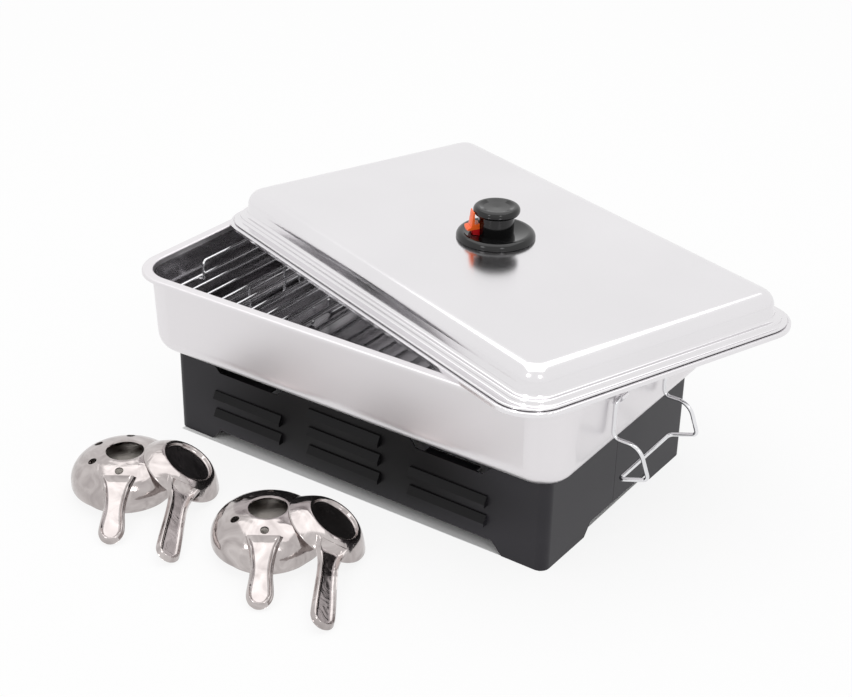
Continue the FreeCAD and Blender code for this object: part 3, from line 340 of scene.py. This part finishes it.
finishes = {
    "stand_paint": stovePaint(), "satin_steel": satinSteel, "chrome_wire": platedWire,
    "polished_steel": polishedSteel, "gauze_mesh": wovenGauze(), "wool_pad": mineralWool(),
    "black_plastic": knobPlastic, "red_plastic": redPlastic, "orange_plastic": orangePlastic,
}
slotOf = {entry["node"]: entry["material_slot"] for entry in frame["record"]["subparts"]}
ownFinish = {"pan": drawnPanSteel(), "drip_tray": traySteel}  # these differ from their slot's
for name, node in nodes.items():
    node.data.materials.clear()
    node.data.materials.append(ownFinish.get(name, finishes[slotOf[name]]))
    node.data.shade_smooth()
    softEdges = node.modifiers.new("softEdges", "EDGE_SPLIT")
    softEdges.split_angle = math.radians(35)  # rounds shade smooth, folded edges stay crisp
print("materials done")


def setPoint(x, y, z):
    # a point given from the middle of the pan at table height, in millimetres
    middle = boxMiddle("pan")
    return Vector((middle.x, middle.y, 0)) + Vector((x, y, z)) * mm


pressedSet = {
    # radius and height down the sheet, in millimetres from the piece's own middle; dome is the
    # middle, reach and rise of its arc, up to 8.9 mm higher than the CAD's straight cone
    "burner": {"profile": [(14.5, 35.0), (14.8, 35.7), (15.6, 35.85), (17.0, 35.6), (18.5, 35.3)],
               "dome": (16.5, 13.0, 26.5, 22.2),
               "edge": [(43.0, 11.5), (43.0, 9.8), (42.8, 8.6), (42.4, 7.6)],
               "root": 31.0, "length": 79.0, "low": 1.2, "slope": 0.6, "ridge": 2.4},
    "snuffer": {"profile": [(0.01, 9.0), (9.0, 9.0), (18.4, 9.0), (19.2, 9.3), (19.7, 10.2),
                            (20.0, 11.4), (20.5, 12.0), (21.3, 12.2), (22.3, 11.9), (24.5, 10.4),
                            (27.5, 7.7), (30.0, 5.0), (32.0, 2.7), (32.9, 1.6), (33.4, 1.0)],
                "dome": None, "edge": [(33.4, 0.5)],
                "root": 25.0, "length": 102.0, "low": -9.0, "slope": 0.158, "ridge": 3.0},
    "rootHalf": 14.0, "waist": 24.0, "neckHalf": 8.4, "tipRadius": 9.8, "sheet": 0.9,
    "turns": 120, "holes": 6, "holeRadius": 3.3, "holePlace": 26.5, "holeLevels": (20, 40),
    # across the channel handle: height of its floor, where its edge crests and how wide that is,
    # and the fall at the very edge
    "floor": 1.5, "crestPlace": 1.9, "crestWidth": 1.25, "edgeDrop": 1.3, "rootLap": 0.4,
    "coneSum": 34.2,  # height plus radius on the snuffer's cone
    "domeSteps": 16, "domeStart": 83, "lengthSteps": 60, "widthSteps": 28, "holeCorners": 24,
    "tipGap": 0.02,  # keeps the last row of the tip from shrinking to a point
    "softEdge": 50,
}


def smoothStep(low, high, value):
    share = min(1.0, max(0.0, (value - low) / (high - low)))
    return share * share * (3 - 2 * share)


def handleHalfWidth(kind, x):
    # broad root, narrow waist, round tip
    tipMiddle = kind["length"] - pressedSet["tipRadius"]
    if x > tipMiddle:
        return math.sqrt(max(0.0, pressedSet["tipRadius"] ** 2 - (x - tipMiddle) ** 2))
    neck = kind["root"] + pressedSet["waist"]
    if x < neck:
        share = (neck - x) / pressedSet["waist"]
        return pressedSet["neckHalf"] + share ** 2 * (pressedSet["rootHalf"]
                                                      - pressedSet["neckHalf"])
    share = smoothStep(neck, tipMiddle, x)
    return pressedSet["neckHalf"] + share * (pressedSet["tipRadius"] - pressedSet["neckHalf"])


def handleHeight(kind, x, y):
    # trough between two raised edges, which close in a lip at the tip and a crescent at the root
    floor = kind["low"] + pressedSet["floor"] + (kind["length"] - x) * kind["slope"]
    if kind is pressedSet["snuffer"]:
        cone = pressedSet["coneSum"] - x
        floor += max(0.0, cone - floor)
    tipMiddle = kind["length"] - pressedSet["tipRadius"]
    if x > tipMiddle:
        depth = pressedSet["tipRadius"] - math.hypot(x - tipMiddle, y)
    else:
        depth = handleHalfWidth(kind, x) - abs(y)
    depth = max(0.0, min(depth, x - kind["root"] + pressedSet["rootLap"]))
    crest = (depth - pressedSet["crestPlace"]) / pressedSet["crestWidth"]
    ridge = kind["ridge"] * math.exp(-crest ** 2)
    drop = pressedSet["edgeDrop"] * (1 - smoothStep(0.0, pressedSet["edgeDrop"], depth))
    return floor + ridge - drop


def addQuads(mesh, rows, closed):
    # faces between rows of points that all have the same count
    start = len(mesh["points"])
    wide = len(rows[0])
    for row in rows:
        mesh["points"] += row
    for row in range(len(rows) - 1):
        for column in range(wide if closed else wide - 1):
            first = start + row * wide + column
            second = start + row * wide + (column + 1) % wide
            mesh["faces"].append((first, first + wide, second + wide, second))


def pressedMesh(name, kind):
    mesh = {"points": [], "faces": []}
    profile = list(kind["profile"])
    if kind["dome"]:
        middleX, middleZ, reach, rise = kind["dome"]
        steps, start = pressedSet["domeSteps"], pressedSet["domeStart"]
        for step in range(steps + 1):
            angle = math.radians(start - start * step / steps)
            profile.append((middleX + reach * math.cos(angle), middleZ + rise * math.sin(angle)))
    profile += kind["edge"]
    turns = pressedSet["turns"]
    rows = [[(radius * math.cos(2 * math.pi * turn / turns),
              radius * math.sin(2 * math.pi * turn / turns), height) for turn in range(turns)]
            for radius, height in profile]
    addQuads(mesh, rows, True)
    lengthSteps, widthSteps = pressedSet["lengthSteps"], pressedSet["widthSteps"]
    rows = []
    for step in range(lengthSteps + 1):
        share = math.sin(step / lengthSteps * math.pi / 2)
        x = kind["root"] + share * (kind["length"] - kind["root"] - pressedSet["tipGap"])
        half = handleHalfWidth(kind, x)
        across = [half * math.sin((2 * column / widthSteps - 1) * math.pi / 2)
                  for column in range(widthSteps + 1)]
        rows.append([(x, y, handleHeight(kind, x, y)) for y in across])
    addQuads(mesh, rows, False)
    data = bpy.data.meshes.new(name)
    data.from_pydata([Vector(point) * mm for point in mesh["points"]], [], mesh["faces"])
    return data


def newPiece(name, data):
    piece = bpy.data.objects.new(name, data)
    bpy.context.scene.collection.objects.link(piece)
    return piece


def bakedMesh(piece):
    # the piece's mesh with its modifiers applied
    bpy.context.view_layer.update()
    graph = bpy.context.evaluated_depsgraph_get()
    return bpy.data.meshes.new_from_object(piece.evaluated_get(graph), depsgraph=graph)


def airHoleCutter():
    # six upright pegs that cut the burner's air holes
    points, faces = [], []
    corners = pressedSet["holeCorners"]
    for hole in range(pressedSet["holes"]):
        turn = 2 * math.pi * hole / pressedSet["holes"]
        middle = (pressedSet["holePlace"] * math.cos(turn),
                  pressedSet["holePlace"] * math.sin(turn))
        start = len(points)
        for level in pressedSet["holeLevels"]:
            for corner in range(corners):
                angle = 2 * math.pi * corner / corners
                points.append((middle[0] + pressedSet["holeRadius"] * math.cos(angle),
                               middle[1] + pressedSet["holeRadius"] * math.sin(angle), level))
        for corner in range(corners):
            after = (corner + 1) % corners
            faces.append((start + corner, start + after, start + corners + after,
                          start + corners + corner))
        faces.append(tuple(start + corner for corner in reversed(range(corners))))
        faces.append(tuple(start + corners + corner for corner in range(corners)))
    data = bpy.data.meshes.new("cutter")
    data.from_pydata([Vector(point) * mm for point in points], [], faces)
    return newPiece("cutter", data)


def addPressed(node, kindName, place):
    # drawn sheet with a rounded dome and a channel handle, in place of the node
    kind = pressedSet[kindName]
    draft = newPiece("draft", pressedMesh("draft", kind))
    skin = draft.modifiers.new("skin", "SOLIDIFY")
    skin.thickness = pressedSet["sheet"] * mm
    skin.offset = -1.0
    if kindName == "burner":
        cutter = airHoleCutter()
        holes = draft.modifiers.new("holes", "BOOLEAN")
        holes.operation = "DIFFERENCE"
        holes.object = cutter
        holes.solver = "EXACT"
        holes.use_self = True
    data = bakedMesh(draft)
    data.name = node + "_sheet"
    data.transform(place)
    bpy.data.objects.remove(draft)
    if kindName == "burner":
        bpy.data.objects.remove(cutter)
    piece = newPiece(node + "_sheet", data)
    data.materials.clear()
    data.materials.append(polishedSteel)
    data.shade_smooth()
    edges = piece.modifiers.new("softEdges", "EDGE_SPLIT")
    edges.split_angle = math.radians(pressedSet["softEdge"])
    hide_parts(node)
    return piece


# where the burners stand and how the caps lean on them, in millimetres and degrees, as in the CAD
burnerSet = {"places": {"1": (-144.1, -204.7), "2": (-2.9, -201.6)}, "turn": -55.8,
             "side": 43.25, "lift": 18.17, "lean": 32.2, "tilt": 33.0, "snufferTurn": -83.0}


def addBurners():
    lean = math.radians(burnerSet["lean"])
    for number, (x, y) in burnerSet["places"].items():
        place = (Matrix.Translation(setPoint(x, y, 0))
                 @ Matrix.Rotation(math.radians(burnerSet["turn"]), 4, "Z"))
        top = addPressed(f"burner_{number}_top", "burner", place)
        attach(top, f"burner_{number}")
        middle = setPoint(x + burnerSet["side"] * math.cos(lean),
                          y + burnerSet["side"] * math.sin(lean), burnerSet["lift"])
        place = (Matrix.Translation(middle) @ Matrix.Rotation(lean, 4, "Z")
                 @ Matrix.Rotation(math.radians(burnerSet["tilt"]), 4, "Y")
                 @ Matrix.Rotation(math.radians(burnerSet["snufferTurn"]), 4, "Z"))
        cap = addPressed(f"snuffer_{number}", "snuffer", place)
        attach(cap, f"snuffer_{number}")


addBurners()
print("burners and snuffers done")


cameraSet = {"place": (649.87, -963.69, 686.98), "aim": (-5.77, 6.12, 80.0), "roll": 1.165,
             "lens": 68.02, "sensor": 36.0}


def addCamera():
    data = bpy.data.cameras.new("camera")
    data.lens = cameraSet["lens"]
    data.sensor_width = cameraSet["sensor"]
    camera = bpy.data.objects.new("camera", data)
    bpy.context.scene.collection.objects.link(camera)
    place = setPoint(*cameraSet["place"])
    back = (place - setPoint(*cameraSet["aim"])).normalized()
    right = Vector((0, 0, 1)).cross(back).normalized()
    upward = back.cross(right)
    roll = math.radians(cameraSet["roll"])
    side = right * math.cos(roll) + upward * math.sin(roll)
    above = upward * math.cos(roll) - right * math.sin(roll)
    turn = Matrix((side, above, back)).transposed()
    camera.matrix_world = Matrix.Translation(place) @ turn.to_4x4()
    data.clip_end = 20
    bpy.context.scene.camera = camera


lightSet = {
    # a wide overhead sheet, and two small softboxes in front that give the paired glints
    "overhead": {"place": (-0.2, 0.3, 2.6), "size": (3.2, 3.0), "power": 29},
    "frontLeft": {"place": (-0.3, -2.3, 1.75), "size": (0.45, 0.6), "power": 4.5},
    "frontRight": {"place": (1.9, -1.4, 1.75), "size": (0.45, 0.6), "power": 4.5},
}


def addLights():
    for name, light in lightSet.items():
        data = bpy.data.lights.new(name, "AREA")
        data.shape = "RECTANGLE"
        data.size, data.size_y = light["size"]
        data.energy = light["power"]
        lamp = bpy.data.objects.new(name, data)
        bpy.context.scene.collection.objects.link(lamp)
        lamp.location = light["place"]
        aim = Vector((0, 0, 0.1)) - lamp.location
        lamp.rotation_euler = aim.to_track_quat("-Z", "Y").to_euler()


def whiteRays(tree):
    # 1 for the rays that see the background itself: camera, glossy and transmission
    path = addNode(tree, "ShaderNodeLightPath")
    first = addNode(tree, "ShaderNodeMath", {"operation": "MAXIMUM"})
    tree.links.new(path.outputs["Is Camera Ray"], first.inputs[0])
    tree.links.new(path.outputs["Is Glossy Ray"], first.inputs[1])
    second = addNode(tree, "ShaderNodeMath", {"operation": "MAXIMUM"})
    tree.links.new(first.outputs["Value"], second.inputs[0])
    tree.links.new(path.outputs["Is Transmission Ray"], second.inputs[1])
    return second.outputs["Value"]


def addWorld():
    world = bpy.data.worlds.new("studio")
    bpy.context.scene.world = world
    world.use_nodes = True
    tree = world.node_tree
    background = tree.nodes["Background"]
    background.inputs["Color"].default_value = (1, 1, 1, 1)
    strength = addNode(tree, "ShaderNodeMapRange", {"To Min": 0.7, "To Max": 1.0},
                       {"Value": whiteRays(tree)})
    tree.links.new(strength.outputs["Result"], background.inputs["Strength"])


floorSet = {"half": 6.0, "whiteShare": 0.86, "shade": "#F3F3F3", "inset": 5}


def paperMaterial(name, whiteShare):
    # matt white paper, part of which the camera and mirrors see as the bright background
    material, tree, shader = newMaterial(name)
    output = tree.nodes["Material Output"]
    tree.nodes.remove(shader)
    paper = addNode(tree, "ShaderNodeBsdfDiffuse", {"Color": srgb(floorSet["shade"])})
    glow = addNode(tree, "ShaderNodeEmission", {"Strength": 1.0})
    share = addNode(tree, "ShaderNodeMath", {"operation": "MULTIPLY"})
    tree.links.new(whiteRays(tree), share.inputs[0])
    share.inputs[1].default_value = whiteShare
    mix = addNode(tree, "ShaderNodeMixShader", None, {"Fac": share.outputs["Value"]})
    tree.links.new(paper.outputs["BSDF"], mix.inputs[1])
    tree.links.new(glow.outputs["Emission"], mix.inputs[2])
    tree.links.new(mix.outputs["Shader"], output.inputs["Surface"])
    return material


def addFloor():
    # under the stand the paper lies in the dark, so that patch has none of the background's white
    low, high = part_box("stand_front_shell")
    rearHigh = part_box("stand_rear_shell")[1]
    inset = floorSet["inset"] * mm
    xs = (-floorSet["half"], low.x + inset, high.x - inset, floorSet["half"])
    ys = (-floorSet["half"], low.y + inset, rearHigh.y - inset, floorSet["half"])
    corners = [(x, y, 0) for y in ys for x in xs]
    faces = [(row * 4 + column, row * 4 + column + 1, row * 4 + column + 5, row * 4 + column + 4)
             for row in range(3) for column in range(3)]
    mesh = bpy.data.meshes.new("floor")
    mesh.from_pydata(corners, [], faces)
    mesh.materials.append(paperMaterial("studioPaper", floorSet["whiteShare"]))
    mesh.materials.append(paperMaterial("shadedPaper", 0.0))
    mesh.polygons[4].material_index = 1
    floor = bpy.data.objects.new("floor", mesh)
    bpy.context.scene.collection.objects.link(floor)
    floor.location.z = cadBox[0][2] - 0.0002


addCamera()
addLights()
addWorld()
addFloor()
bpy.context.scene.view_settings.view_transform = "Standard"
print("camera and studio done")
